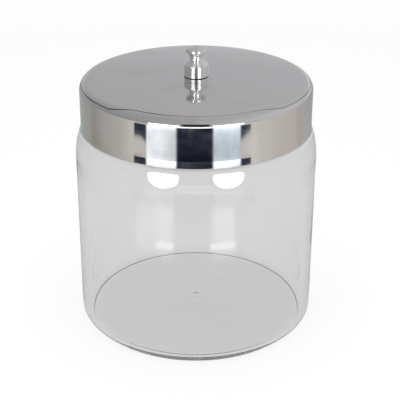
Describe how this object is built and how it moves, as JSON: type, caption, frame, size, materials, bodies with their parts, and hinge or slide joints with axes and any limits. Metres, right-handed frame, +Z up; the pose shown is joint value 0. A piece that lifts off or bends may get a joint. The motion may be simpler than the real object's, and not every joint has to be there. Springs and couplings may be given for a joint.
{
  "type": "glass dressing jar",
  "caption": "Round clear glass jar with a rounded shoulder and a deep slip-on steel cover that lifts off by a turned knob.",
  "frame": {"origin": "on the jar's axis, at the surface that it stands on", "axes": "+Z up along the jar's axis and along the way the cover lifts; the object is round, so +X and +Y are free"},
  "size_m": [0.158, 0.158, 0.1867],
  "materials": {
    "jar_glass": "clear, fire-polished",
    "cover_steel": "bright, with a fine grain round the skirt",
    "knob_aluminium": "bright turned",
    "screw_steel": "plain"
  },
  "bodies": {
    "jar": {"glass_jar": "jar_glass"},
    "lid": {"lid_cover": "cover_steel", "knob": "knob_aluminium", "lock_washer": "screw_steel", "knob_screw": "screw_steel"}
  },
  "joints": [
    {"name": "lid_lift", "type": "slide", "parent": "jar", "child": "lid", "axis": [0, 0, 1], "range_m": [0, 0.1]}
  ]
}
